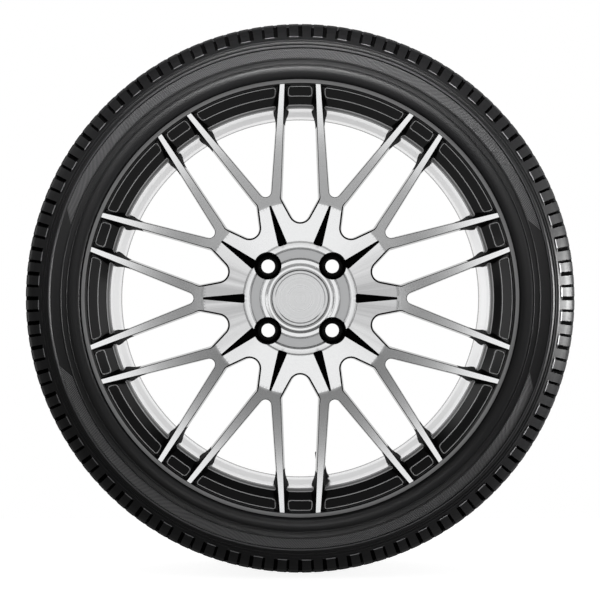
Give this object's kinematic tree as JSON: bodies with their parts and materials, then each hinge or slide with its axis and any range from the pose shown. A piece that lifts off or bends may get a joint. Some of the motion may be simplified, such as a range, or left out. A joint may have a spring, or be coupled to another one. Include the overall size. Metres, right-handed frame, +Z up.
{
  "type": "car wheel",
  "caption": "Car wheel: low-profile road tyre on a two-tone alloy wheel with slim Y-shaped spokes and a plain centre cap",
  "frame": {"origin": "wheel centre: on the turning axis, midway across the tyre", "axes": "+Y along the turning axis towards the vehicle, -Y out of the spoke face, +Z up, +X to the right seen from the spoke face"},
  "size_m": [0.6037, 0.2168, 0.6038],
  "materials": {
    "tyre_rubber": "matte moulded rubber",
    "wheel_alloy": "machined face over gloss black paint, silver inner barrel",
    "cap_silver": "silver lacquer",
    "spring_steel": "bare spring wire",
    "valve_rubber": "matte",
    "valve_brass": "bare",
    "valve_plastic": "matte"
  },
  "bodies": {
    "wheel": {"tyre": "tyre_rubber", "alloy_wheel": "wheel_alloy", "centre_cap": "cap_silver", "cap_spring": "spring_steel", "valve_body": "valve_rubber", "valve_tube": "valve_brass", "valve_core": "valve_brass"},
    "valve_cap": {"valve_cap": "valve_plastic", "valve_seal": "valve_rubber"},
    "valve_pin": {"valve_pin": "valve_brass"}
  },
  "joints": [
    {"name": "valve_cap_lift", "type": "slide", "parent": "wheel", "child": "valve_cap", "axis": [-0.1253, 0, 0.9921], "range_m": [0, 0.011]},
    {"name": "valve_pin_press", "type": "slide", "parent": "wheel", "child": "valve_pin", "axis": [0.1253, 0, -0.9921], "range_m": [0, 0.0012], "stiffness_N_per_m": 300}
  ]
}
